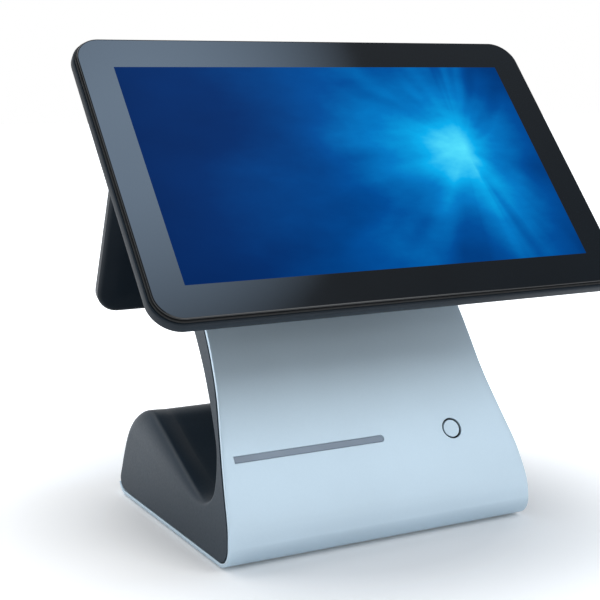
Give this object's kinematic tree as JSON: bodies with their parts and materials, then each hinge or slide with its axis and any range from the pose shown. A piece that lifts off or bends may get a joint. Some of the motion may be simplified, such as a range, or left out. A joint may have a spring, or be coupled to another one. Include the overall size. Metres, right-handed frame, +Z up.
{
  "type": "pos touchscreen terminal",
  "caption": "Point-of-sale terminal with a tilting touchscreen and a smaller rear customer display on a curved aluminium and plastic stand.",
  "frame": {"origin": "centre of the object's footprint box, at the counter", "axes": "+X to the operator's right, -Y towards the operator, +Z up"},
  "size_m": [0.4014, 0.2739, 0.3841],
  "materials": {
    "black_glass": "glossy black-backed glass",
    "black_gasket": "matt black",
    "screen_panel": "display panel",
    "slate_plastic": "satin slate-grey moulding with a fine grain",
    "satin_aluminium": "bead-blasted, cool silver",
    "plated_steel": "zinc plated",
    "black_metal": "satin black",
    "circuit_board": "green solder resist",
    "rubber_feet": "matt",
    "light_lens": "satin diffuser",
    "socket_plastic": "black"
  },
  "bodies": {
    "base": {"base_body": "slate_plastic", "front_cover": "satin_aluminium", "stem_cap": "slate_plastic", "stem_frame": "plated_steel", "hinge_block": "black_metal", "head_hinge_shaft": "plated_steel", "head_washer_left": "plated_steel", "head_washer_right": "plated_steel", "customer_hinge_shaft": "plated_steel", "customer_washer_left": "plated_steel", "customer_washer_right": "plated_steel", "button_guide": "black_gasket", "power_switch": "socket_plastic", "light_bar": "light_lens", "light_board": "circuit_board", "connector_recess": "socket_plastic", "drawer_socket": "socket_plastic", "serial_socket": "socket_plastic", "video_socket": "socket_plastic", "network_socket": "socket_plastic", "usb_socket_left": "socket_plastic", "usb_socket_right": "socket_plastic", "power_socket": "socket_plastic", "ballast_plate": "plated_steel", "main_board": "circuit_board", "storage_module": "circuit_board", "memory_module": "circuit_board", "speaker": "socket_plastic", "heat_sink": "black_metal", "foot_front_left": "rubber_feet", "foot_front_right": "rubber_feet", "foot_rear_left": "rubber_feet", "foot_rear_right": "rubber_feet"},
    "head": {"head_glass": "black_glass", "head_gasket": "black_gasket", "head_panel": "screen_panel", "head_chassis": "plated_steel", "head_board": "circuit_board", "head_housing": "slate_plastic", "head_bracket": "plated_steel", "head_arm_cover": "slate_plastic"},
    "customer_display": {"customer_glass": "black_glass", "customer_gasket": "black_gasket", "customer_panel": "screen_panel", "customer_chassis": "plated_steel", "customer_board": "circuit_board", "customer_housing": "slate_plastic", "customer_bracket": "plated_steel"},
    "button": {"power_button": "satin_aluminium"}
  },
  "joints": [
    {"name": "head_tilt", "type": "hinge", "parent": "base", "child": "head", "pos_m": [0, 0.02131, 0.23651], "axis": [1, 0, 0], "range_deg": [-10, 30]},
    {"name": "customer_tilt", "type": "hinge", "parent": "base", "child": "customer_display", "pos_m": [0, 0.05034, 0.2362], "axis": [1, 0, 0], "range_deg": [-15, 5]},
    {"name": "button_press", "type": "slide", "parent": "base", "child": "button", "axis": [0, 0.8518, -0.5239], "range_m": [0, 0.001], "stiffness_N_per_m": 2500}
  ]
}
